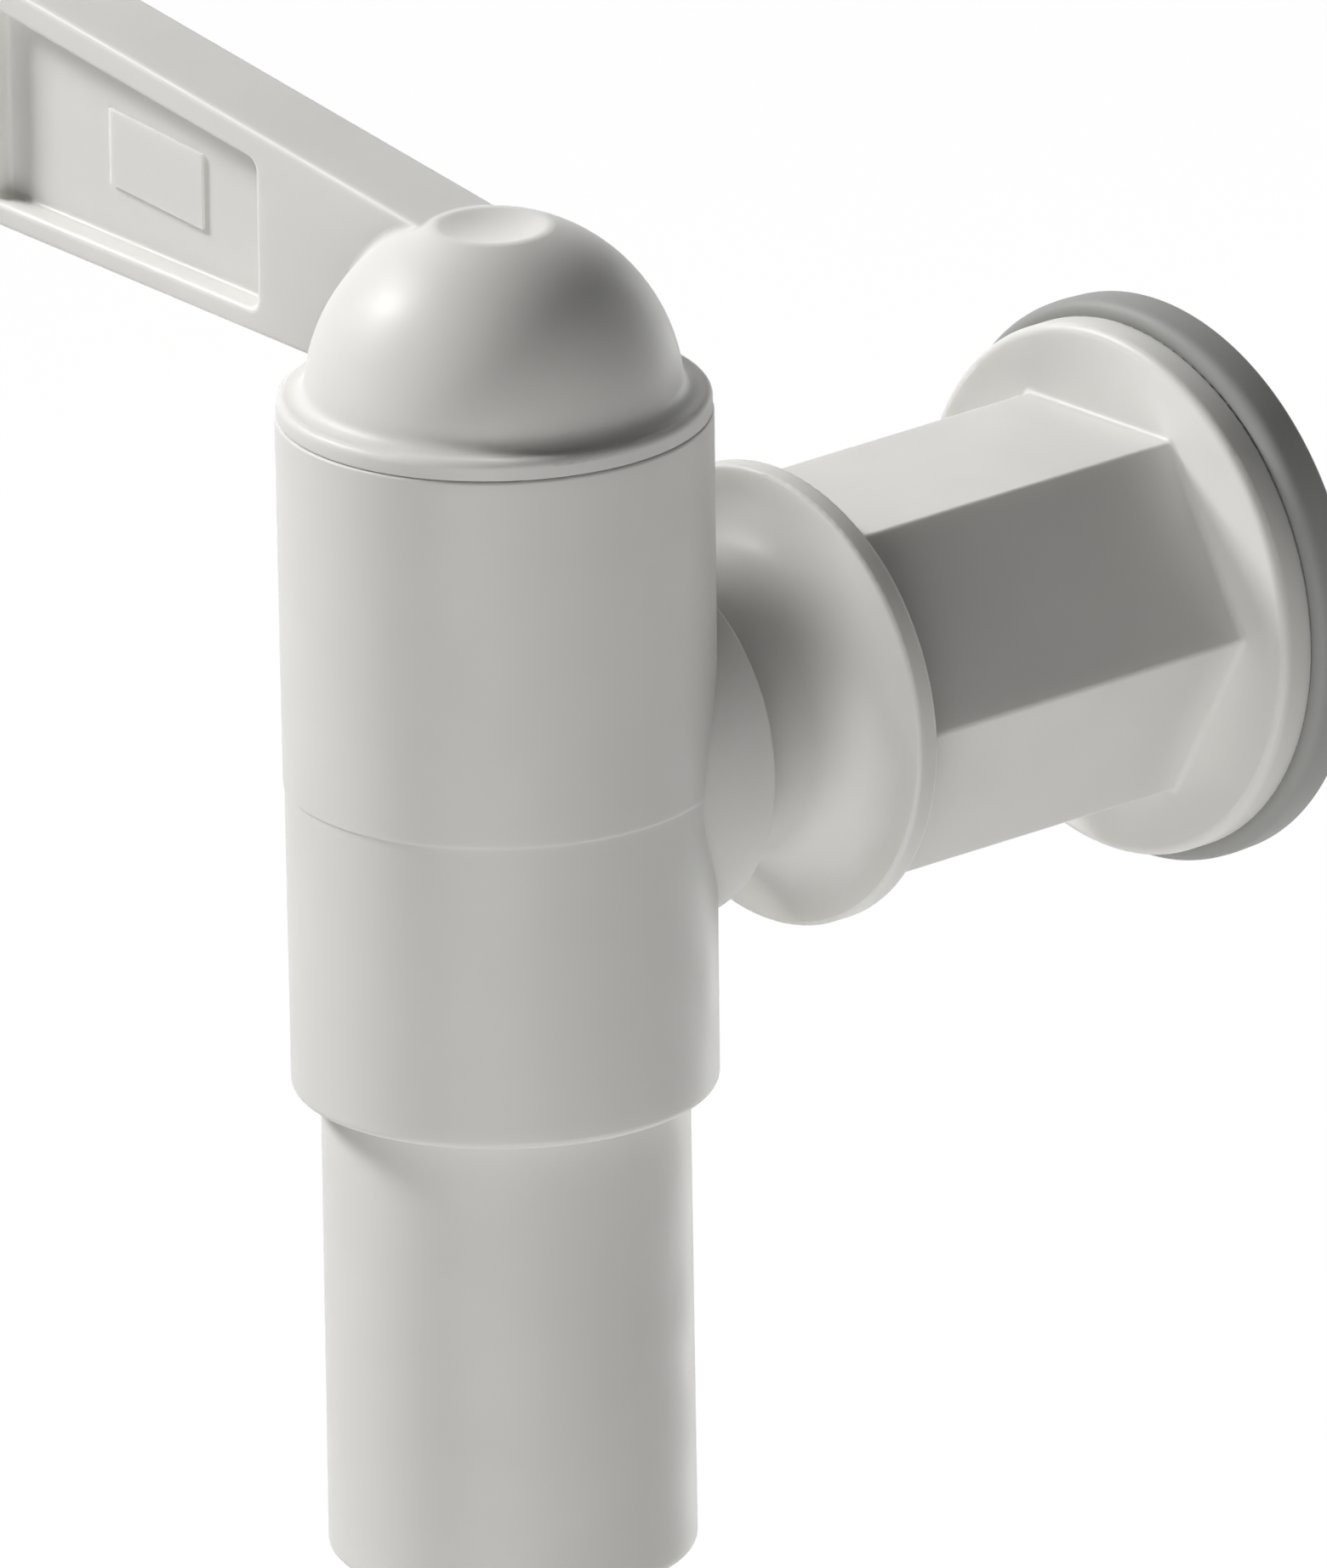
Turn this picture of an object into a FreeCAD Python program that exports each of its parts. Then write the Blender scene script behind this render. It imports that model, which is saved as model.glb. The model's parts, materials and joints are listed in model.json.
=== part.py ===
"""Lever dispensing tap: a hollow plug with its own spout turns in a sleeve that swivels on its inlet.

The origin is the centre of the gasket's rear face, where the tap seats on a tank wall.
+Y runs along the inlet into the tank, +Z is up and the closed lever points along -X.
The sleeve's axis is upright, one reach in front of the tank wall, and crosses the inlet's axis.
"""
import math
import os

import FreeCAD
import Part

V = FreeCAD.Vector
UP = V(0, 0, 1)
ORIGIN = V(0, 0, 0)

# Hollow plug, which runs on below the sleeve as the spout
PLUG_R = 13.5
SPOUT_WALL = 2.9
SPOUT_DROP = 35.9
SPOUT_EDGE = 0.8
PLUG_WEB = 2.4
WELL_DEPTH = 2.4
SPIGOT_HEIGHT = 4.6
SPIGOT_WALL = 2.2
KEY_WIDTH = 4.0
KEY_DEPTH = 1.2

# Sleeve of the valve body, with a boss and a nipple on its side: heights are from the inlet's axis
REACH = 64.9
SLEEVE_WALL = 2.3
BODY_RISE = 28.16
BODY_DROP = 23.44
BODY_DRAFT_DEG = 0.28
WITNESS_STEP = 0.1
BODY_EDGE = 0.6
SLEEVE_MOUTH_EDGE = 0.2
BOSS_INSET = 1.86
BOSS_FACE = 14.5
BOSS_EDGE = 0.3
NIPPLE_WALL = 2.55
NIPPLE_LAND = 1.8

# Lever cap: flange, dome and lever in one moulding
CAP_FLANGE_SETBACK = 0.1
CAP_FLANGE_HEIGHT = 1.5
CAP_FLANGE_EDGE = 0.6
CAP_FOOT_EDGE = 0.15
CAP_FLANGE_LAND = 0.05
CAP_FILLET = 1.2
BRIM_WIDTH = 2.0
DOME_CENTRE_RISE = 1.06
DOME_WALL = 2.8
SOCKET_WALL = 3.55
DIMPLE_R = 4.2
DIMPLE_DEPTH = 0.65
DIMPLE_EDGE = 1.5
LEVER_LENGTH = 54.0
LEVER_WIDTH = 7.5
LEVER_TOP_DROP = 1.5
LEVER_BOTTOM_RISE = 0.25
LEVER_TOP_DEG = 9.1
LEVER_BOTTOM_DEG = 2.52
LEVER_END_ROUND = 3.0
LEVER_EDGE = 0.5
LEVER_ROOT_FILLET = 0.8
POCKET_START_RIM = 8.0
POCKET_END_RIM = 2.6
POCKET_DEPTH = 2.0
POCKET_TOP_RIM = 2.4
POCKET_BOTTOM_RIM = 1.9
POCKET_ROUND = 0.9
POCKET_FLOOR_ROUND = 0.4
PAD_OFFSET = -1.8
PAD_LENGTH = 10.2
PAD_HEIGHT = 5.8
PAD_RELIEF = 0.3

# Quarter-turn stop: a lug under the cap's flange runs in a notch inside the sleeve's mouth
TURN_DEG = 90.0
LUG_DEG = 20.0
LUG_RADIAL = 1.0
LUG_HEIGHT = 1.8
STOP_GAP_DEG = 1.0

# Inlet connector: neck, lip, hexagon and flange in one moulding, with a G 1/2 thread inside its rear end
THREAD_R = 10.48
THREAD_PITCH = 1.814
THREAD_DEPTH = 1.16
THREAD_CREST = 0.45
THREAD_ROOT_FLAT = 0.31
THREAD_SINK = 0.25
SOCKET_DEPTH = 16.1
MOUTH_STEP = 0.37
MOUTH_LENGTH = 2.2
PILOT_WALL = 1.95
PILOT_SHORT = 0.4
HEX_WALL = 3.02
HEX_EDGE = 0.5
HEX_ROOT_FILLET = 0.5
NECK_WALL = 2.49
COVE_R = 4.4
LIP_STAND = 1.77
LIP_THICKNESS = 1.9
LIP_BACK = 27.3
LIP_EDGE = 0.35
FLANGE_STAND = 4.51
FLANGE_THICKNESS = 2.75
FLANGE_EDGE = 0.7
FLANGE_REAR_EDGE = 0.3

# Gasket and seals
GASKET_STAND = 1.2
GASKET_THICKNESS = 3.35
GASKET_FRONT_EDGE = 1.0
GASKET_EDGE = 0.3
CORD_R = 0.75
PLUG_SEAL_INSET = 5.5
SWIVEL_SEAL_BACK = 12.8
PORT_SEAL_WIDTH = 1.7
PORT_SEAL_BACKING = 1.64

# Split retaining rings
RING_THICKNESS = 1.2
RING_GAP_WIDTH = 3.0
PLUG_RING_STAND = 0.9
PLUG_RING_BITE = 0.8
PLUG_RING_RECESS = 2.4
SWIVEL_RING_STAND = 0.72
SWIVEL_RING_BITE = 0.6
CHAMBER_ROOM = 1.3

# Fits: turning fits run on a thin film, seated pieces have a hair of room, passing faces more
RUNNING_GAP = 0.06
SEAL_FILM = 0.04
SEAT_GAP = 0.05
FACE_GAP = 0.2
SEAM_GAP = 0.06
GROOVE_GAP = 0.15

# Plug and sleeve, from the plug's radius outwards
PLUG_BORE_R = PLUG_R - SPOUT_WALL
BORE_R = PLUG_R + RUNNING_GAP
BODY_R = BORE_R + SLEEVE_WALL
BODY_TOP_R = BODY_R + BODY_RISE * math.tan(math.radians(BODY_DRAFT_DEG))
BODY_LOW_R = BODY_R - WITNESS_STEP
BODY_BOTTOM_R = BODY_LOW_R - BODY_DROP * math.tan(math.radians(BODY_DRAFT_DEG))
BOSS_R = BODY_R - BOSS_INSET
SPOUT_END = -BODY_DROP - SPOUT_DROP
PLUG_RING_R = PLUG_R + PLUG_RING_STAND
RECESS_TOP = PLUG_RING_RECESS - BODY_DROP
PLUG_RING_TOP = RECESS_TOP - FACE_GAP
PLUG_RING_LOW = PLUG_RING_TOP - RING_THICKNESS
NOTCH_FLOOR = BODY_RISE - LUG_HEIGHT
UPPER_SEAL = NOTCH_FLOOR - PLUG_SEAL_INSET
LOWER_SEAL = RECESS_TOP + PLUG_SEAL_INSET
SEAL_GROOVE_DEPTH = 2 * CORD_R + SEAT_GAP
SEAL_GROOVE_WIDTH = 2 * CORD_R + 2 * GROOVE_GAP

# Lever cap, from the sleeve's top upwards and inwards
CAP_UNDERSIDE = BODY_RISE + SEAM_GAP
CAP_FLANGE_R = BODY_TOP_R - CAP_FLANGE_SETBACK
CAP_FLANGE_TOP = CAP_UNDERSIDE + CAP_FLANGE_HEIGHT
DOME_R = CAP_FLANGE_R - BRIM_WIDTH
DOME_CENTRE = CAP_UNDERSIDE + DOME_CENTRE_RISE
SOCKET_R = DOME_R - SOCKET_WALL
SPIGOT_R = SOCKET_R - SEAT_GAP
SPIGOT_TOP = CAP_UNDERSIDE + SPIGOT_HEIGHT
POCKET_START = DOME_R + POCKET_START_RIM
POCKET_END = LEVER_LENGTH - POCKET_END_RIM
PAD_START = (POCKET_START + POCKET_END - PAD_LENGTH) / 2 + PAD_OFFSET

# Inlet connector and swivel, from the thread outwards and from the tank wall forwards
THREAD_CREST_R = THREAD_R - THREAD_DEPTH
MOUTH_R = THREAD_R + MOUTH_STEP
PILOT_R = MOUTH_R + PILOT_WALL
HEX_ACROSS_FLATS = 2 * (THREAD_R + HEX_WALL)
HEX_CORNER_R = HEX_ACROSS_FLATS / math.sqrt(3)
LIP_R = HEX_CORNER_R + LIP_STAND
FLANGE_R = HEX_CORNER_R + FLANGE_STAND
GASKET_R = FLANGE_R + GASKET_STAND
SWIVEL_RING_R = THREAD_CREST_R - GROOVE_GAP
NIPPLE_R = SWIVEL_RING_R - SWIVEL_RING_STAND
NIPPLE_BORE_R = NIPPLE_R - NIPPLE_WALL
NECK_BORE_R = NIPPLE_R + RUNNING_GAP
NECK_R = NECK_BORE_R + NECK_WALL
PORT_SEAL_R = NIPPLE_BORE_R + PORT_SEAL_WIDTH
PILOT_END = -PILOT_SHORT
MOUTH_FLOOR = PILOT_END - MOUTH_LENGTH
FLANGE_REAR = -GASKET_THICKNESS
FLANGE_FRONT = FLANGE_REAR - FLANGE_THICKNESS
SOCKET_FLOOR = -SOCKET_DEPTH
NIPPLE_END = SOCKET_FLOOR - CHAMBER_ROOM
SWIVEL_RING_BACK = NIPPLE_END - NIPPLE_LAND
SWIVEL_RING_FRONT = SWIVEL_RING_BACK - RING_THICKNESS
SHOULDER = SWIVEL_RING_FRONT - FACE_GAP
SWIVEL_SEAL = SHOULDER - SWIVEL_SEAL_BACK
LIP_REAR = LIP_BACK - REACH
LIP_FRONT = LIP_REAR - LIP_THICKNESS
NECK_START = max(BODY_TOP_R, BOSS_FACE) + FACE_GAP - REACH
BOSS_FRONT = BOSS_FACE - REACH
PORT_SEAL_REAR = BORE_R + PORT_SEAL_BACKING - REACH


def same(one, other):
    """Whether two lengths agree to a hundredth of a micron."""
    return abs(one - other) < 1e-5


def rounded_face(corners):
    """Flat face in the XZ plane from (x, z, rounding) corners; a rounding of 0 leaves a corner sharp."""
    points = [V(x, 0, z) for x, z, _ in corners]
    ends = []
    for i, (_, _, radius) in enumerate(corners):
        corner = points[i]
        if radius == 0:
            ends.append((corner, None, corner))
            continue
        back = (points[i - 1] - corner).normalize()
        ahead = (points[(i + 1) % len(points)] - corner).normalize()
        half = back.getAngle(ahead) / 2
        inset = radius / math.tan(half)
        middle = corner + (back + ahead).normalize() * (radius / math.sin(half) - radius)
        ends.append((corner + back * inset, middle, corner + ahead * inset))
    edges = []
    for i, (start, middle, stop) in enumerate(ends):
        if middle is not None:
            edges.append(Part.Arc(start, middle, stop).toShape())
        following = ends[(i + 1) % len(ends)][0]
        if not same(stop.distanceToPoint(following), 0):
            edges.append(Part.LineSegment(stop, following).toShape())
    return Part.Face(Part.Wire(edges))


def turned(corners):
    """Solid of revolution about Z from (radius, height, rounding) corners."""
    return rounded_face(corners).revolve(ORIGIN, UP, 360)


def arc(centre, radius, start_deg, stop_deg):
    """Arc in the XZ plane about a centre, with angles measured from +X towards +Z."""
    points = []
    for degrees in (start_deg, (start_deg + stop_deg) / 2, stop_deg):
        turn = math.radians(degrees)
        points.append(centre + V(math.cos(turn), 0, math.sin(turn)) * radius)
    return Part.Arc(*points).toShape()


def ring(outer_r, inner_r, low, high):
    """Plain tube about Z."""
    return turned([(inner_r, low, 0), (outer_r, low, 0), (outer_r, high, 0), (inner_r, high, 0)])


def drum(radius, low, high):
    """Plain round bar about Z."""
    return Part.makeCylinder(radius, high - low, V(0, 0, low))


def grooved(bar, bar_r, depth, low, high):
    """A bar about Z with a square groove turned into it."""
    return bar.cut(ring(2 * bar_r, bar_r - depth, low, high))


def along_inlet(shape):
    """Turn a piece made about Z so that its heights run along +Y, on the inlet's axis."""
    turned_over = shape.copy()
    turned_over.rotate(ORIGIN, V(1, 0, 0), -90)
    return turned_over


def on_sleeve_axis(shape):
    """Carry a piece made about Z to the sleeve's upright axis."""
    carried = shape.copy()
    carried.translate(V(0, -REACH, 0))
    return carried


def sector(outer_r, inner_r, low, high, middle_deg, width_deg):
    """Part of a tube about Z, width_deg wide and centred on middle_deg from +X."""
    flat = Part.makePlane(outer_r - inner_r, high - low, V(inner_r, 0, low), V(0, -1, 0), V(1, 0, 0))
    piece = flat.revolve(ORIGIN, UP, width_deg)
    piece.rotate(ORIGIN, UP, middle_deg - width_deg / 2)
    return piece


def split_ring(outer_r, inner_r, low, high):
    """Flat retaining ring about Z with a gap in it, so that it can be sprung into its groove."""
    gap = Part.makeBox(outer_r, RING_GAP_WIDTH, high - low, V(0, -RING_GAP_WIDTH / 2, low))
    return ring(outer_r, inner_r, low, high).cut(gap)


def edges_where(shape, chosen):
    """Edges of a shape whose middle point passes a test."""
    found = []
    for edge in shape.Edges:
        if chosen(edge.valueAt((edge.FirstParameter + edge.LastParameter) / 2)):
            found.append(edge)
    return found


def make_valve_body():
    """Sleeve with a side boss and the nipple that the inlet swivels on."""
    sleeve = turned(
        [
            (0, -BODY_DROP, 0),
            (BODY_BOTTOM_R, -BODY_DROP, BODY_EDGE),
            (BODY_LOW_R, 0, 0),
            (BODY_R, 0, 0),
            (BODY_TOP_R, BODY_RISE, SLEEVE_MOUTH_EDGE),
            (0, BODY_RISE, 0),
        ]
    )
    boss = turned(
        [
            (0, -REACH, 0),
            (BOSS_R, -REACH, 0),
            (BOSS_R, BOSS_FRONT, BOSS_EDGE),
            (0, BOSS_FRONT, 0),
        ]
    )
    nipple = drum(NIPPLE_R, -REACH, NIPPLE_END)
    seal_low = SWIVEL_SEAL - SEAL_GROOVE_WIDTH / 2
    nipple = grooved(nipple, NIPPLE_R, SEAL_GROOVE_DEPTH, seal_low, seal_low + SEAL_GROOVE_WIDTH)
    ring_low = SWIVEL_RING_FRONT - SEAT_GAP
    nipple = grooved(nipple, NIPPLE_R, SWIVEL_RING_BITE, ring_low, SWIVEL_RING_BACK + SEAT_GAP)
    body = on_sleeve_axis(sleeve).fuse([along_inlet(boss), along_inlet(nipple)])
    stop_notch = sector(
        BORE_R + LUG_RADIAL + 2 * GROOVE_GAP,
        PLUG_R,
        NOTCH_FLOOR,
        BODY_RISE,
        180 + TURN_DEG / 2,
        TURN_DEG + LUG_DEG + 2 * STOP_GAP_DEG,
    )
    hollows = [
        on_sleeve_axis(drum(BORE_R, -BODY_DROP, BODY_RISE)),
        on_sleeve_axis(drum(PLUG_RING_R + GROOVE_GAP, -BODY_DROP, RECESS_TOP)),
        on_sleeve_axis(stop_notch),
        along_inlet(drum(NIPPLE_BORE_R, -REACH, NIPPLE_END)),
        along_inlet(drum(PORT_SEAL_R + SEAT_GAP, -REACH, PORT_SEAL_REAR)),
    ]
    return body.cut(hollows).removeSplitter()


def make_port_seal():
    """Rubber saddle ring round the inlet port, hollowed to lie against the plug."""
    blank = along_inlet(ring(PORT_SEAL_R, NIPPLE_BORE_R, -REACH, PORT_SEAL_REAR))
    return blank.cut(on_sleeve_axis(drum(PLUG_R + SEAL_FILM, -BODY_DROP, BODY_RISE)))


def make_spout_plug():
    """Hollow plug with a side port, a closed top, and a keyed spigot that carries the lever cap."""
    well_r = SPIGOT_R - SPIGOT_WALL
    web_top = CAP_UNDERSIDE - WELL_DEPTH
    web_low = web_top - PLUG_WEB
    barrel = turned(
        [
            (PLUG_BORE_R, SPOUT_END, 0),
            (PLUG_R, SPOUT_END, SPOUT_EDGE),
            (PLUG_R, CAP_UNDERSIDE, 0),
            (SPIGOT_R, CAP_UNDERSIDE, 0),
            (SPIGOT_R, SPIGOT_TOP, 0),
            (well_r, SPIGOT_TOP, 0),
            (well_r, web_top, 0),
            (0, web_top, 0),
            (0, web_low, 0),
            (PLUG_BORE_R, web_low, 0),
        ]
    )
    key_end = SPIGOT_R + KEY_DEPTH
    key = Part.makeBox(2 * key_end, KEY_WIDTH, SPIGOT_HEIGHT, V(-key_end, -KEY_WIDTH / 2, CAP_UNDERSIDE))
    plug = barrel.fuse(key.cut(drum(well_r, CAP_UNDERSIDE, SPIGOT_TOP)))
    for height in (UPPER_SEAL, LOWER_SEAL):
        low = height - SEAL_GROOVE_WIDTH / 2
        plug = grooved(plug, PLUG_R, SEAL_GROOVE_DEPTH, low, low + SEAL_GROOVE_WIDTH)
    plug = grooved(plug, PLUG_R, PLUG_RING_BITE, PLUG_RING_LOW - SEAT_GAP, PLUG_RING_TOP + SEAT_GAP)
    port = Part.makeCylinder(NIPPLE_BORE_R, 2 * PLUG_R, ORIGIN, V(1, 0, 0))
    return on_sleeve_axis(plug.cut(port).removeSplitter())


def lever_top(distance):
    """Height of the lever's top face at a distance from the sleeve's axis."""
    at_axis = DOME_CENTRE + DOME_R - LEVER_TOP_DROP
    return at_axis + distance * math.tan(math.radians(LEVER_TOP_DEG))


def lever_bottom(distance):
    """Height of the lever's underside at a distance from the sleeve's axis."""
    at_axis = CAP_UNDERSIDE + LEVER_BOTTOM_RISE
    return at_axis + distance * math.tan(math.radians(LEVER_BOTTOM_DEG))


def make_lever():
    """Flat lever that deepens outwards, with a pocket and a plain raised pad on each side."""
    blade = rounded_face(
        [
            (0, lever_bottom(0), 0),
            (-LEVER_LENGTH, lever_bottom(LEVER_LENGTH), LEVER_END_ROUND),
            (-LEVER_LENGTH, lever_top(LEVER_LENGTH), LEVER_END_ROUND),
            (0, lever_top(0), 0),
        ]
    ).extrude(V(0, LEVER_WIDTH, 0))
    blade.translate(V(0, -LEVER_WIDTH / 2, 0))
    pocket = rounded_face(
        [
            (-POCKET_START, lever_bottom(POCKET_START) + POCKET_BOTTOM_RIM, POCKET_ROUND),
            (-POCKET_END, lever_bottom(POCKET_END) + POCKET_BOTTOM_RIM, POCKET_ROUND),
            (-POCKET_END, lever_top(POCKET_END) - POCKET_TOP_RIM, POCKET_ROUND),
            (-POCKET_START, lever_top(POCKET_START) - POCKET_TOP_RIM, POCKET_ROUND),
        ]
    )
    pad_end = PAD_START + PAD_LENGTH
    start_middle = (lever_top(PAD_START) + lever_bottom(PAD_START)) / 2
    end_middle = (lever_top(pad_end) + lever_bottom(pad_end)) / 2
    pad = rounded_face(
        [
            (-PAD_START, start_middle - PAD_HEIGHT / 2, 0),
            (-pad_end, end_middle - PAD_HEIGHT / 2, 0),
            (-pad_end, end_middle + PAD_HEIGHT / 2, 0),
            (-PAD_START, start_middle + PAD_HEIGHT / 2, 0),
        ]
    )
    pocket_floor = LEVER_WIDTH / 2 - POCKET_DEPTH
    for side in (-1, 1):
        hollow = pocket.extrude(V(0, side * POCKET_DEPTH, 0))
        hollow = hollow.makeFillet(POCKET_FLOOR_ROUND, edges_where(hollow, lambda at: same(at.y, 0)))
        hollow = hollow.cut(pad.extrude(V(0, side * PAD_RELIEF, 0)))
        hollow.translate(V(0, side * pocket_floor, 0))
        blade = blade.cut(hollow)
    rims = edges_where(blade, lambda at: same(abs(at.y), LEVER_WIDTH / 2) and not same(at.x, 0))
    return blade.makeFillet(LEVER_EDGE, rims)


def make_dome():
    """Flange with a rounded brim, a fillet up to the dome, and a soft-rimmed dimple in the dome's crown."""
    centre = V(0, 0, DOME_CENTRE)
    fillet_height = CAP_FLANGE_TOP + CAP_FILLET
    reach = DOME_R + CAP_FILLET
    fillet = V(math.sqrt(reach**2 - (fillet_height - DOME_CENTRE) ** 2), 0, fillet_height)
    foot_deg = math.degrees(math.asin((fillet_height - DOME_CENTRE) / reach))
    brim_room = min(CAP_FLANGE_R - fillet.x, CAP_FLANGE_HEIGHT - CAP_FOOT_EDGE) - CAP_FLANGE_LAND
    brim_edge = min(CAP_FLANGE_EDGE, brim_room)
    brim = V(CAP_FLANGE_R - brim_edge, 0, CAP_FLANGE_TOP - brim_edge)
    foot = V(CAP_FLANGE_R - CAP_FOOT_EDGE, 0, CAP_UNDERSIDE + CAP_FOOT_EDGE)
    bowl_r = (DIMPLE_R**2 + DIMPLE_DEPTH**2) / (2 * DIMPLE_DEPTH)
    bowl = V(0, 0, DOME_CENTRE + math.sqrt(DOME_R**2 - DIMPLE_R**2) - DIMPLE_DEPTH + bowl_r)
    rise = bowl.z - DOME_CENTRE
    rim_rise = (rise**2 + (DOME_R - DIMPLE_EDGE) ** 2 - (bowl_r + DIMPLE_EDGE) ** 2) / (2 * rise)
    rim = V(math.sqrt((DOME_R - DIMPLE_EDGE) ** 2 - rim_rise**2), 0, DOME_CENTRE + rim_rise)
    rim_deg = math.degrees(math.atan2(rim_rise, rim.x))
    bowl_deg = math.degrees(math.atan2(rim.x, bowl.z - rim.z))
    outline = [
        Part.makeLine(V(0, 0, CAP_UNDERSIDE), V(foot.x, 0, CAP_UNDERSIDE)),
        arc(foot, CAP_FOOT_EDGE, 270, 360),
        Part.makeLine(V(CAP_FLANGE_R, 0, foot.z), V(CAP_FLANGE_R, 0, brim.z)),
        arc(brim, brim_edge, 0, 90),
        Part.makeLine(V(brim.x, 0, CAP_FLANGE_TOP), V(fillet.x, 0, CAP_FLANGE_TOP)),
        arc(fillet, CAP_FILLET, 270, 180 + foot_deg),
        arc(centre, DOME_R, foot_deg, rim_deg),
        arc(rim, DIMPLE_EDGE, rim_deg, 90 + bowl_deg),
        arc(bowl, bowl_r, 270 + bowl_deg, 270),
        Part.makeLine(bowl - UP * bowl_r, V(0, 0, CAP_UNDERSIDE)),
    ]
    return Part.Face(Part.Wire(outline)).revolve(ORIGIN, UP, 360)


def make_lever_cap():
    """Flange and hollow dome with the lever on its side, keyed over the plug's spigot."""
    inner_r = DOME_R - DOME_WALL
    socket_top = DOME_CENTRE + math.sqrt(inner_r**2 - SOCKET_R**2)
    vault = Part.makeSphere(inner_r, V(0, 0, DOME_CENTRE))
    hollow = vault.common(drum(SOCKET_R, DOME_CENTRE, DOME_CENTRE + DOME_R))
    hollow = hollow.fuse(drum(SOCKET_R, CAP_UNDERSIDE, socket_top))
    keyway_end = SPIGOT_R + KEY_DEPTH + SEAT_GAP
    keyway = Part.makeBox(
        2 * keyway_end,
        KEY_WIDTH + 2 * SEAT_GAP,
        SPIGOT_HEIGHT + SEAT_GAP,
        V(-keyway_end, -KEY_WIDTH / 2 - SEAT_GAP, CAP_UNDERSIDE),
    )
    lug_r = BORE_R + GROOVE_GAP
    lug = sector(lug_r + LUG_RADIAL, lug_r, CAP_UNDERSIDE - LUG_HEIGHT, CAP_UNDERSIDE, 180, LUG_DEG)
    cap = make_dome().fuse(make_lever())
    flank = LEVER_WIDTH / 2
    crown = V(0, 0, DOME_CENTRE)
    roots = edges_where(cap, lambda at: same(abs(at.y), flank) and same(at.distanceToPoint(crown), DOME_R))
    cap = cap.makeFillet(LEVER_ROOT_FILLET, roots).cut([hollow, keyway])
    return on_sleeve_axis(cap.fuse(lug))


def plug_seal(height):
    """O-ring in one of the plug's grooves."""
    return on_sleeve_axis(Part.makeTorus(PLUG_R - CORD_R, CORD_R, V(0, 0, height), UP))


def make_plug_ring():
    """Split ring under the sleeve that keeps the plug from lifting out."""
    inner_r = PLUG_R - PLUG_RING_BITE + SEAT_GAP
    return on_sleeve_axis(split_ring(PLUG_RING_R, inner_r, PLUG_RING_LOW, PLUG_RING_TOP))


def make_swivel_seal():
    """O-ring between the nipple and the inlet connector."""
    return along_inlet(Part.makeTorus(NIPPLE_R - CORD_R, CORD_R, V(0, 0, SWIVEL_SEAL), UP))


def make_swivel_ring():
    """Split ring that holds the inlet connector on the nipple."""
    inner_r = NIPPLE_R - SWIVEL_RING_BITE + SEAT_GAP
    return along_inlet(split_ring(SWIVEL_RING_R, inner_r, SWIVEL_RING_FRONT, SWIVEL_RING_BACK))


def make_thread():
    """Right-handed helical ridge inside the socket, about Z, sunk a little into the socket's wall."""
    root_width = THREAD_PITCH - THREAD_ROOT_FLAT
    slope = (root_width - THREAD_CREST) / 2 / THREAD_DEPTH
    sunk_r = THREAD_R + THREAD_SINK
    sunk_half = root_width / 2 + slope * THREAD_SINK
    tooth = Part.makePolygon(
        [
            V(sunk_r, 0, -sunk_half),
            V(THREAD_CREST_R, 0, -THREAD_CREST / 2),
            V(THREAD_CREST_R, 0, THREAD_CREST / 2),
            V(sunk_r, 0, sunk_half),
            V(sunk_r, 0, -sunk_half),
        ]
    )
    helix = Part.makeHelix(THREAD_PITCH, MOUTH_FLOOR - SOCKET_FLOOR - 2 * THREAD_PITCH, THREAD_R)
    ridge = Part.Wire(helix.Edges).makePipeShell([tooth], True, True)
    ridge.translate(V(0, 0, SOCKET_FLOOR + THREAD_PITCH))
    return ridge


def make_hexagon():
    """Spanner hexagon about Z between the lip and the flange, with rounded corners."""
    corners = []
    for i in range(7):
        turn = i * math.pi / 3
        corners.append(V(HEX_CORNER_R * math.cos(turn), HEX_CORNER_R * math.sin(turn), LIP_REAR))
    hexagon = Part.Face(Part.makePolygon(corners)).extrude(V(0, 0, FLANGE_FRONT - LIP_REAR))
    long_edges = edges_where(hexagon, lambda at: not same(at.z, LIP_REAR) and not same(at.z, FLANGE_FRONT))
    return hexagon.makeFillet(HEX_EDGE, long_edges)


def make_inlet_connector():
    """Neck, lip, hexagon and flange, bored and stepped for the swivel and threaded inside the rear end."""
    front = turned(
        [
            (0, NECK_START, 0),
            (NECK_R, NECK_START, 0),
            (NECK_R, LIP_FRONT, COVE_R),
            (LIP_R, LIP_FRONT, LIP_EDGE),
            (LIP_R, LIP_REAR, LIP_EDGE),
            (0, LIP_REAR, 0),
        ]
    )
    rear = turned(
        [
            (0, FLANGE_FRONT, 0),
            (FLANGE_R, FLANGE_FRONT, FLANGE_EDGE),
            (FLANGE_R, FLANGE_REAR, FLANGE_REAR_EDGE),
            (PILOT_R, FLANGE_REAR, 0),
            (PILOT_R, PILOT_END, 0),
            (0, PILOT_END, 0),
        ]
    )
    shell = make_hexagon().fuse([front, rear])
    root = edges_where(shell, lambda at: same(at.z, FLANGE_FRONT) and math.hypot(at.x, at.y) < HEX_CORNER_R)
    shell = shell.makeFillet(HEX_ROOT_FILLET, root)
    hollows = [
        drum(NECK_BORE_R, NECK_START, SHOULDER),
        drum(THREAD_CREST_R, SHOULDER, SOCKET_FLOOR),
        drum(THREAD_R, SOCKET_FLOOR, MOUTH_FLOOR),
        drum(MOUTH_R, MOUTH_FLOOR, PILOT_END),
    ]
    shell = shell.cut(hollows).removeSplitter()
    return along_inlet(shell.fuse(make_thread()))


def make_flange_gasket():
    """Soft ring between the flange and the tank wall, centred on the short pilot behind the flange."""
    inner_r = PILOT_R + SEAT_GAP
    return along_inlet(
        turned(
            [
                (inner_r, FLANGE_REAR, 0),
                (GASKET_R, FLANGE_REAR, GASKET_FRONT_EDGE),
                (GASKET_R, 0, GASKET_EDGE),
                (inner_r, 0, 0),
            ]
        )
    )


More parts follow.
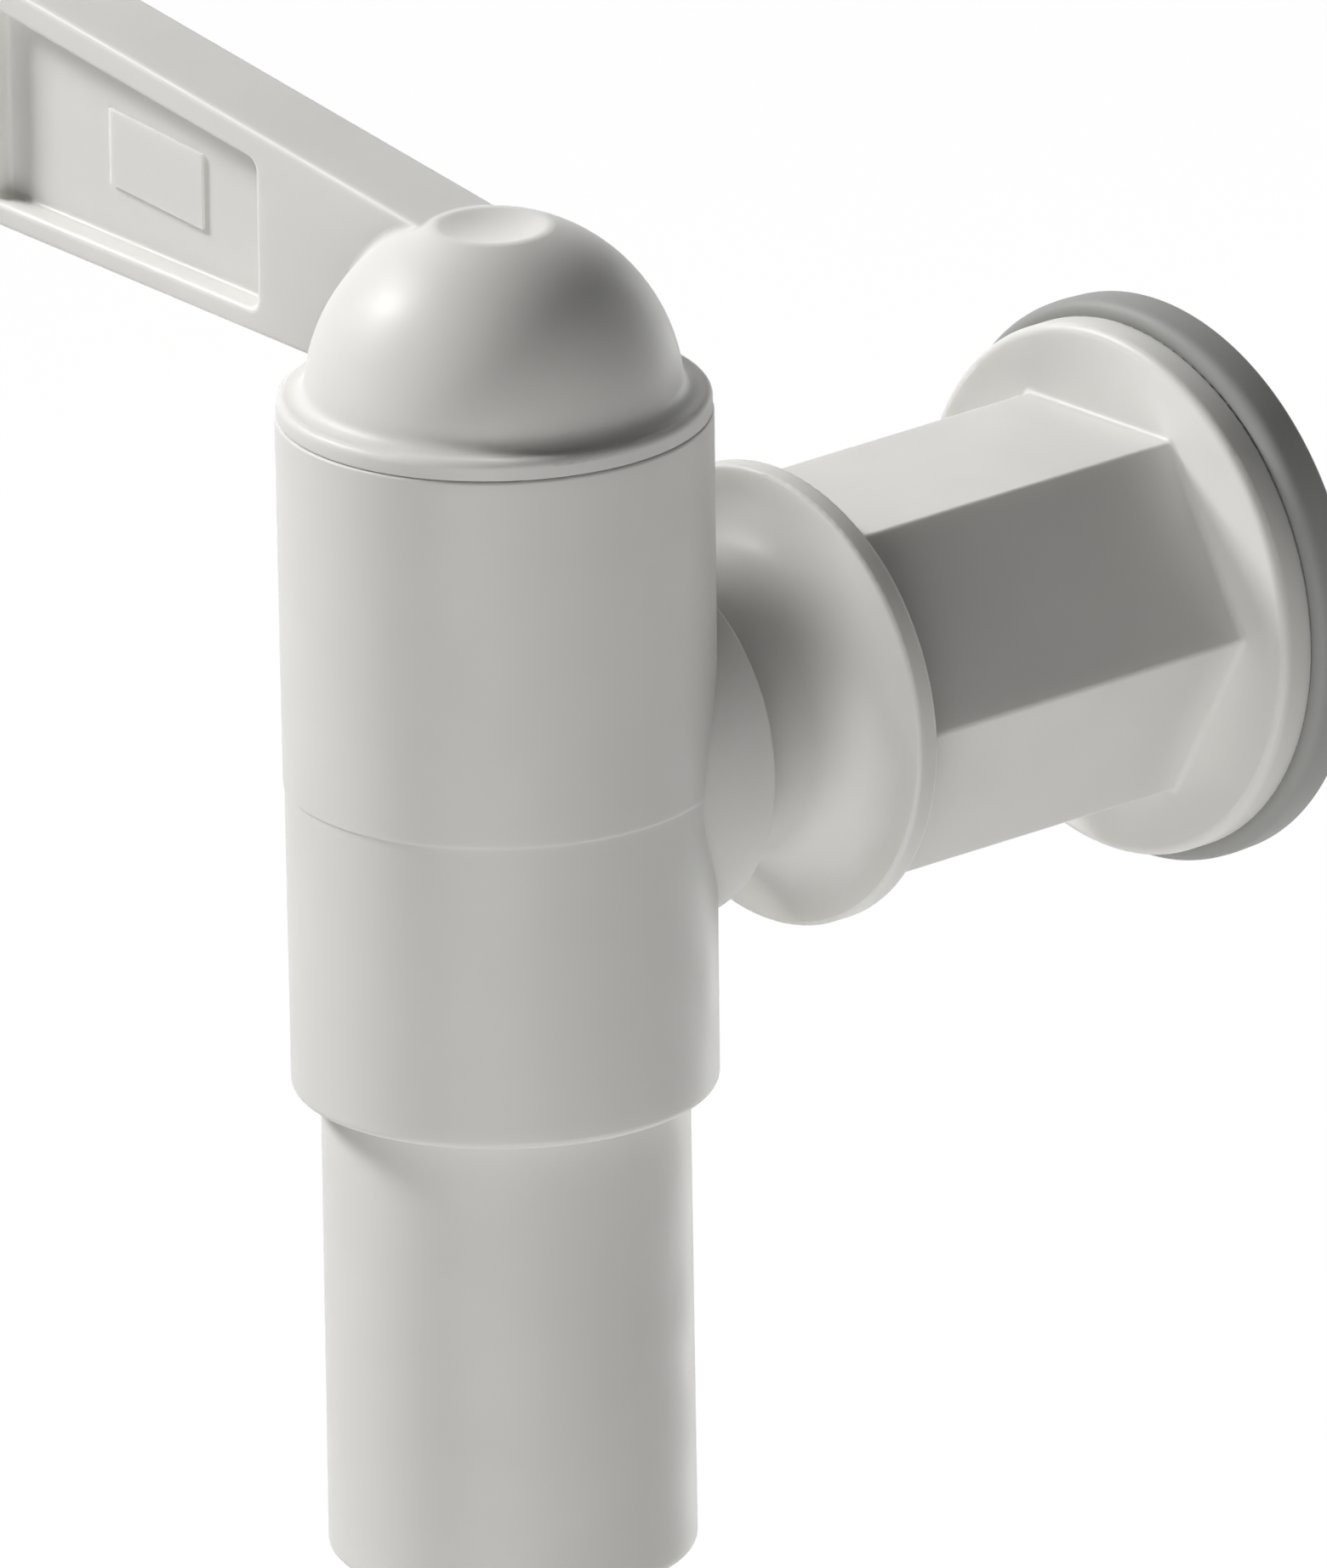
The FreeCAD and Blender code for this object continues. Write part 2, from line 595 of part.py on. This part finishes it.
PIECES = {
    "inlet_connector": make_inlet_connector(),
    "flange_gasket": make_flange_gasket(),
    "valve_body": make_valve_body(),
    "port_seal": make_port_seal(),
    "swivel_o_ring": make_swivel_seal(),
    "swivel_retaining_ring": make_swivel_ring(),
    "lever_cap": make_lever_cap(),
    "spout_plug": make_spout_plug(),
    "upper_plug_o_ring": plug_seal(UPPER_SEAL),
    "lower_plug_o_ring": plug_seal(LOWER_SEAL),
    "plug_retaining_ring": make_plug_ring(),
}

os.makedirs("parts", exist_ok=True)
for name, piece in PIECES.items():
    piece.exportStep("parts/" + name + ".step")
    print(name, len(piece.Solids), piece.isValid(), round(piece.Volume, 1))
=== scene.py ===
"""Looks of a lever dispensing tap in moulded polyethylene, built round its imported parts.

Lengths are in metres, in the frame of the parts: +Y into the tank, +Z up, closed lever along -X.
"""
import json
import math

import bmesh
import bpy
from mathutils import Matrix, Vector


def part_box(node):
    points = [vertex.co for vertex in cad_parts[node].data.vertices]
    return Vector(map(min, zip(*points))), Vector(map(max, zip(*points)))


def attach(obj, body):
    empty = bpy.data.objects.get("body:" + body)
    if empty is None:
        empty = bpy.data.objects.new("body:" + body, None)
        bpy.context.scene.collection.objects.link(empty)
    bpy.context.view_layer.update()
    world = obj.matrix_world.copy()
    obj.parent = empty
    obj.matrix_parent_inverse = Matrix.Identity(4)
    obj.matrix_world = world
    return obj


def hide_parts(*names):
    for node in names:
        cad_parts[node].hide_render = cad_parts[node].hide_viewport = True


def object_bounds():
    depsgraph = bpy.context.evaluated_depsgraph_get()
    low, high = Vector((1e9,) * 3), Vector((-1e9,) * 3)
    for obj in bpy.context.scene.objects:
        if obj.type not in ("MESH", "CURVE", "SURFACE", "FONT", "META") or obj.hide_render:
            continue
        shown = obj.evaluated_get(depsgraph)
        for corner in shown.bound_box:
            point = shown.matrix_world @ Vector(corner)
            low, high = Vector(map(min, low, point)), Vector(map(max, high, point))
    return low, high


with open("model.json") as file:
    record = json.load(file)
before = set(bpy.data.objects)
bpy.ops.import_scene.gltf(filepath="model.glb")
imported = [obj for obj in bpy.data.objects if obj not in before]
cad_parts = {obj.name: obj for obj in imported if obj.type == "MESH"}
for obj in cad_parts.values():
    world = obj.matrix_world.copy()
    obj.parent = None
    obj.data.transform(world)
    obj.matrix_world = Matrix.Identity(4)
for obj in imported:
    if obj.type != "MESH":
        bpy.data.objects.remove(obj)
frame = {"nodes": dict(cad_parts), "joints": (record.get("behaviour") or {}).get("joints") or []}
cad_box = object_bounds()


# Valve body: an upright sleeve with a boss and a nipple on its side, injection moulded in natural
# polyethylene. The tool parts at the height of the inlet and leaves a fine witness line there.

MM = 0.001


def linear(hex_colour):
    """Linear RGBA of an sRGB hex value such as E4E5E1."""
    channels = [int(hex_colour[i : i + 2], 16) / 255 for i in (0, 2, 4)]
    return [c / 12.92 if c <= 0.04045 else ((c + 0.055) / 1.055) ** 2.4 for c in channels] + [1.0]


def add(material, kind, settings=None, links=None):
    """Add one node to a material, set its sockets or properties, and link other nodes' outputs to it."""
    node = material.node_tree.nodes.new(kind)
    for key, value in (settings or {}).items():
        if isinstance(key, int) or key in node.inputs:
            node.inputs[key].default_value = value
        else:
            setattr(node, key, value)
    for key, output in (links or {}).items():
        material.node_tree.links.new(output, node.inputs[key])
    return node


def new_material(name):
    """Empty node material with its output node."""
    material = bpy.data.materials.new(name)
    material.use_nodes = True
    material.node_tree.nodes.clear()
    return material, add(material, "ShaderNodeOutputMaterial")


def moulded_polyethylene():
    """Natural polyethylene, moulded against a satin tool: milky, a little see-through, softly glossy."""
    pale, deep = "EAE9E6", "E1E0DC"
    # The tool's grain is nearer 0.1 mm; it is drawn coarser so that it shows.
    cloud_mm, flow_mm, grain_mm = 14.0, 5.0, 0.45
    satin, matt = 0.4, 0.5
    grain_height, light_depth = 0.006 * MM, 1.2 * MM
    material, output = new_material("moulded_polyethylene")
    place = add(material, "ShaderNodeTexCoord").outputs["Object"]
    cloud = add(
        material,
        "ShaderNodeTexNoise",
        {"Scale": 1 / (cloud_mm * MM), "Detail": 3.0, "Roughness": 0.55},
        {"Vector": place},
    )
    tint = add(
        material,
        "ShaderNodeMix",
        {"data_type": "RGBA", 6: linear(pale), 7: linear(deep)},
        {0: cloud.outputs["Fac"]},
    )
    flow = add(
        material,
        "ShaderNodeTexNoise",
        {"Scale": 1 / (flow_mm * MM), "Detail": 4.0, "Roughness": 0.6},
        {"Vector": place},
    )
    gloss = add(
        material,
        "ShaderNodeMapRange",
        {"From Min": 0.3, "From Max": 0.7, "To Min": satin, "To Max": matt},
        {"Value": flow.outputs["Fac"]},
    )
    grain = add(
        material,
        "ShaderNodeTexNoise",
        {"Scale": 1 / (grain_mm * MM), "Detail": 2.0, "Roughness": 0.5},
        {"Vector": place},
    )
    bump = add(
        material,
        "ShaderNodeBump",
        {"Strength": 0.25, "Distance": grain_height},
        {"Height": grain.outputs["Fac"]},
    )
    shader = add(
        material,
        "ShaderNodeBsdfPrincipled",
        {
            "IOR": 1.51,
            "Specular IOR Level": 0.3,
            "Subsurface Weight": 0.6,
            "Subsurface Radius": (1.0, 0.97, 0.9),
            "Subsurface Scale": light_depth,
        },
        {
            "Base Color": tint.outputs[2],
            "Roughness": gloss.outputs["Result"],
            "Normal": bump.outputs["Normal"],
        },
    )
    material.node_tree.links.new(shader.outputs["BSDF"], output.inputs["Surface"])
    return material


def finish_node(node, material):
    """Give a carried-over part its material."""
    part = frame["nodes"][node]
    part.data.materials.clear()
    part.data.materials.append(material)


polyethylene = moulded_polyethylene()
finish_node("valve_body", polyethylene)


# Lever cap and spout plug: the two mouldings that turn together, keyed to each other.
# Both are polyethylene from the same satin tool as the body.

finish_node("lever_cap", polyethylene)
finish_node("spout_plug", polyethylene)


# Inlet connector: neck, lip, spanner hexagon and flange in one polyethylene moulding,
# with a thread inside its rear end.

finish_node("inlet_connector", polyethylene)


# Flange gasket: a flat ring of grey rubber with a slightly crowned rim, moulded in one
# and pressed over the short pilot behind the flange.

GASKET_BORE = 12.85 * MM
RIM_CROWN = 0.08 * MM
FRONT_ROUND = 1.0 * MM
REAR_ROUND = 0.3 * MM
SPIN_STEPS = 192
ROUND_STEPS = 6
SHARP_DEG = 35
MERGE = 0.001 * MM


def moulded_rubber(name, colour, dusty, roughness):
    """Moulded rubber: matt, a little dusty, with a fine unevenness from its tool."""
    # The tool's unevenness is nearer 0.2 mm; it is drawn coarser so that it shows.
    dust_mm, grain_mm = 2.5, 0.6
    dust_matt, grain_height = 0.12, 0.012 * MM
    material, output = new_material(name)
    place = add(material, "ShaderNodeTexCoord").outputs["Object"]
    dust = add(
        material,
        "ShaderNodeTexNoise",
        {"Scale": 1 / (dust_mm * MM), "Detail": 4.0, "Roughness": 0.65},
        {"Vector": place},
    )
    tint = add(
        material,
        "ShaderNodeMix",
        {"data_type": "RGBA", 6: linear(colour), 7: linear(dusty)},
        {0: dust.outputs["Fac"]},
    )
    wear = add(
        material,
        "ShaderNodeMapRange",
        {"From Min": 0.3, "From Max": 0.7, "To Min": roughness, "To Max": roughness + dust_matt},
        {"Value": dust.outputs["Fac"]},
    )
    grain = add(
        material,
        "ShaderNodeTexNoise",
        {"Scale": 1 / (grain_mm * MM), "Detail": 3.0},
        {"Vector": place},
    )
    bump = add(
        material,
        "ShaderNodeBump",
        {"Strength": 0.3, "Distance": grain_height},
        {"Height": grain.outputs["Fac"]},
    )
    shader = add(
        material,
        "ShaderNodeBsdfPrincipled",
        {"IOR": 1.52},
        {
            "Base Color": tint.outputs[2],
            "Roughness": wear.outputs["Result"],
            "Normal": bump.outputs["Normal"],
        },
    )
    material.node_tree.links.new(shader.outputs["BSDF"], output.inputs["Surface"])
    return material


gasket_low, gasket_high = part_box("flange_gasket")
gasket_r = gasket_high[0]
gasket_middle = (gasket_low[1] + gasket_high[1]) / 2
shape = bmesh.new()
profile = [
    (GASKET_BORE, gasket_low[1]),
    (gasket_r - RIM_CROWN, gasket_low[1]),
    (gasket_r, gasket_middle),
    (gasket_r - RIM_CROWN, gasket_high[1]),
    (GASKET_BORE, gasket_high[1]),
]
corners = [shape.verts.new((radius, along, 0)) for radius, along in profile]
for corner, following in zip(corners, corners[1:] + corners[:1]):
    shape.edges.new((corner, following))
bmesh.ops.spin(
    shape,
    geom=shape.verts[:] + shape.edges[:],
    cent=(0, 0, 0),
    axis=(0, 1, 0),
    angle=math.tau,
    steps=SPIN_STEPS,
    use_merge=True,
)
bmesh.ops.remove_doubles(shape, verts=shape.verts, dist=MERGE)
bmesh.ops.recalc_face_normals(shape, faces=shape.faces)
for face_y, rounding in ((gasket_low[1], FRONT_ROUND), (gasket_high[1], REAR_ROUND)):
    rim_edges = []
    for edge in shape.edges:
        ends = [vert.co for vert in edge.verts]
        on_face = all(abs(end.y - face_y) < MERGE for end in ends)
        if on_face and all(math.hypot(end.x, end.z) > gasket_r - 2 * RIM_CROWN for end in ends):
            rim_edges.append(edge)
    bmesh.ops.bevel(
        shape,
        geom=rim_edges,
        offset=rounding,
        affect="EDGES",
        segments=ROUND_STEPS,
        profile=0.5,
        material=-1,
    )
gasket_mesh = bpy.data.meshes.new("gasket_ring")
shape.to_mesh(gasket_mesh)
shape.free()
gasket_mesh.shade_smooth()
gasket_mesh.set_sharp_from_angle(angle=math.radians(SHARP_DEG))
gasket_mesh.materials.append(moulded_rubber("grey_rubber", "939391", "9D9D9A", 0.55))
gasket = bpy.data.objects.new("gasket_ring", gasket_mesh)
bpy.context.scene.collection.objects.link(gasket)
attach(gasket, "inlet")
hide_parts("flange_gasket")


# Seals: O-rings and the port's saddle ring, moulded in black rubber and lightly greased. They sit in
# grooves and in the body's port, hidden from outside.

seal_rubber = moulded_rubber("black_rubber", "232323", "2E2E2D", 0.35)
for seal in ("port_seal", "swivel_o_ring", "upper_plug_o_ring", "lower_plug_o_ring"):
    finish_node(seal, seal_rubber)


# Retaining rings: split rings moulded in natural acetal, which is stiff enough to hold as a clip.
# One is sprung into a groove in the nipple and one into a groove in the plug.


def moulded_acetal():
    """Natural acetal: cream white, harder and glossier than polyethylene, with faint flow marks."""
    pale, deep = "DEDDD4", "D6D5CB"
    flow_mm = 3.0
    glossy, satin = 0.22, 0.32
    light_depth = 0.6 * MM
    material, output = new_material("moulded_acetal")
    place = add(material, "ShaderNodeTexCoord").outputs["Object"]
    flow = add(
        material,
        "ShaderNodeTexNoise",
        {"Scale": 1 / (flow_mm * MM), "Detail": 3.0, "Distortion": 1.5},
        {"Vector": place},
    )
    tint = add(
        material,
        "ShaderNodeMix",
        {"data_type": "RGBA", 6: linear(pale), 7: linear(deep)},
        {0: flow.outputs["Fac"]},
    )
    gloss = add(
        material,
        "ShaderNodeMapRange",
        {"To Min": glossy, "To Max": satin},
        {"Value": flow.outputs["Fac"]},
    )
    shader = add(
        material,
        "ShaderNodeBsdfPrincipled",
        {"IOR": 1.48, "Subsurface Weight": 0.25, "Subsurface Scale": light_depth},
        {"Base Color": tint.outputs[2], "Roughness": gloss.outputs["Result"]},
    )
    material.node_tree.links.new(shader.outputs["BSDF"], output.inputs["Surface"])
    return material


acetal = moulded_acetal()
for split_ring in ("swivel_retaining_ring", "plug_retaining_ring"):
    finish_node(split_ring, acetal)


# Studio: a sheet of white paper well below the tap, a soft key lamp at the upper left, a low fill as
# from a white card in front, and three weaker lamps round the back. Paper and surround look white.

FLOOR_BELOW = 0.75
FLOOR_SIZE = 12.0
LAMP_DISTANCE = 1.0
PAPER_LIFT = 0.95
SURROUND = 0.02


def seen_directly(material):
    """Socket that is 1 for camera, mirror and see-through rays, and 0 for the light that falls on the tap."""
    paths = add(material, "ShaderNodeLightPath")
    mirrored = add(
        material,
        "ShaderNodeMath",
        {"operation": "MAXIMUM"},
        {0: paths.outputs["Is Glossy Ray"], 1: paths.outputs["Is Transmission Ray"]},
    )
    seen = add(
        material,
        "ShaderNodeMath",
        {"operation": "MAXIMUM"},
        {0: paths.outputs["Is Camera Ray"], 1: mirrored.outputs["Value"]},
    )
    return seen.outputs["Value"]


def white_paper():
    """Matt white paper that takes the tap's shadow, lifted to white where it is seen directly."""
    material, output = new_material("white_paper")
    lift = add(
        material, "ShaderNodeMath", {"operation": "MULTIPLY", 1: PAPER_LIFT}, {0: seen_directly(material)}
    )
    sheet = add(material, "ShaderNodeBsdfDiffuse", {"Color": linear("F4F4F2")})
    glow = add(
        material, "ShaderNodeEmission", {"Color": linear("FFFFFF")}, {"Strength": lift.outputs["Value"]}
    )
    both = add(
        material, "ShaderNodeAddShader", links={0: sheet.outputs["BSDF"], 1: glow.outputs["Emission"]}
    )
    material.node_tree.links.new(both.outputs["Shader"], output.inputs["Surface"])
    return material


sheet_shape = bmesh.new()
bmesh.ops.create_grid(sheet_shape, x_segments=1, y_segments=1, size=FLOOR_SIZE / 2)
floor_mesh = bpy.data.meshes.new("floor")
sheet_shape.to_mesh(floor_mesh)
sheet_shape.free()
floor_mesh.transform(Matrix.Translation((0, 0, cad_box[0][2] - FLOOR_BELOW)))
floor_mesh.materials.append(white_paper())
floor = bpy.data.objects.new("floor", floor_mesh)
bpy.context.scene.collection.objects.link(floor)


def soft_box(name, azimuth, elevation, across, watts):
    """Square lamp aimed at the middle of the tap; its azimuth counts from the front, -Y, towards +X."""
    turn, rise = math.radians(azimuth), math.radians(elevation)
    toward = Vector((math.sin(turn) * math.cos(rise), -math.cos(turn) * math.cos(rise), math.sin(rise)))
    lamp = bpy.data.lights.new(name, "AREA")
    lamp.size = across
    lamp.energy = watts
    holder = bpy.data.objects.new(name, lamp)
    holder.location = (Vector(cad_box[0]) + Vector(cad_box[1])) / 2 + toward * LAMP_DISTANCE
    holder.rotation_euler = (-toward).to_track_quat("-Z", "Y").to_euler()
    bpy.context.scene.collection.objects.link(holder)


soft_box("key", azimuth=299, elevation=40, across=0.24, watts=10.0)
soft_box("front_card", azimuth=38, elevation=-20, across=0.8, watts=5.6)
soft_box("behind_right", azimuth=140, elevation=-8, across=0.5, watts=0.95)
soft_box("behind", azimuth=184, elevation=-10, across=0.8, watts=4.0)
soft_box("behind_left", azimuth=240, elevation=35, across=0.8, watts=1.4)

surround = bpy.data.worlds.new("surround")
surround.use_nodes = True
surround.node_tree.nodes.clear()
bpy.context.scene.world = surround
strength = add(
    surround,
    "ShaderNodeMapRange",
    {"To Min": SURROUND, "To Max": 1.0},
    {"Value": seen_directly(surround)},
)
sky = add(
    surround, "ShaderNodeBackground", {"Color": linear("FFFFFF")}, {"Strength": strength.outputs["Result"]}
)
add(surround, "ShaderNodeOutputWorld", links={"Surface": sky.outputs["Background"]})


# Camera: a long lens at the photograph's angle, so that upright edges stay nearly parallel. Its aim is
# measured from the point where the sleeve's axis crosses the inlet's.

AZIMUTH, ELEVATION, ROLL = (math.radians(angle) for angle in (48.78, 19.51, 0.911))
DISTANCE = 4.4
PIXELS_PER_METRE = 16150
IMAGE_HEIGHT = 1844
SENSOR_MM = 36.0
AIM_RIGHT, AIM_UP = 11.865 * MM, -0.572 * MM

back = Vector(
    (
        math.sin(AZIMUTH) * math.cos(ELEVATION),
        -math.cos(AZIMUTH) * math.cos(ELEVATION),
        math.sin(ELEVATION),
    )
)
level = Vector((math.cos(AZIMUTH), math.sin(AZIMUTH), 0))
upright = back.cross(level)
right = level * math.cos(ROLL) - upright * math.sin(ROLL)
up = level * math.sin(ROLL) + upright * math.cos(ROLL)
crossing = Vector((0, frame["joints"][1]["pos_m"][1], 0))
stand = crossing + right * AIM_RIGHT + up * AIM_UP + back * DISTANCE

lens = bpy.data.cameras.new("camera")
lens.sensor_width = SENSOR_MM
lens.lens = DISTANCE * PIXELS_PER_METRE * SENSOR_MM / IMAGE_HEIGHT
camera = bpy.data.objects.new("camera", lens)
camera.matrix_world = Matrix.Translation(stand) @ Matrix((right, up, back)).transposed().to_4x4()
bpy.context.scene.collection.objects.link(camera)
bpy.context.scene.camera = camera
bpy.context.scene.view_settings.view_transform = "Standard"
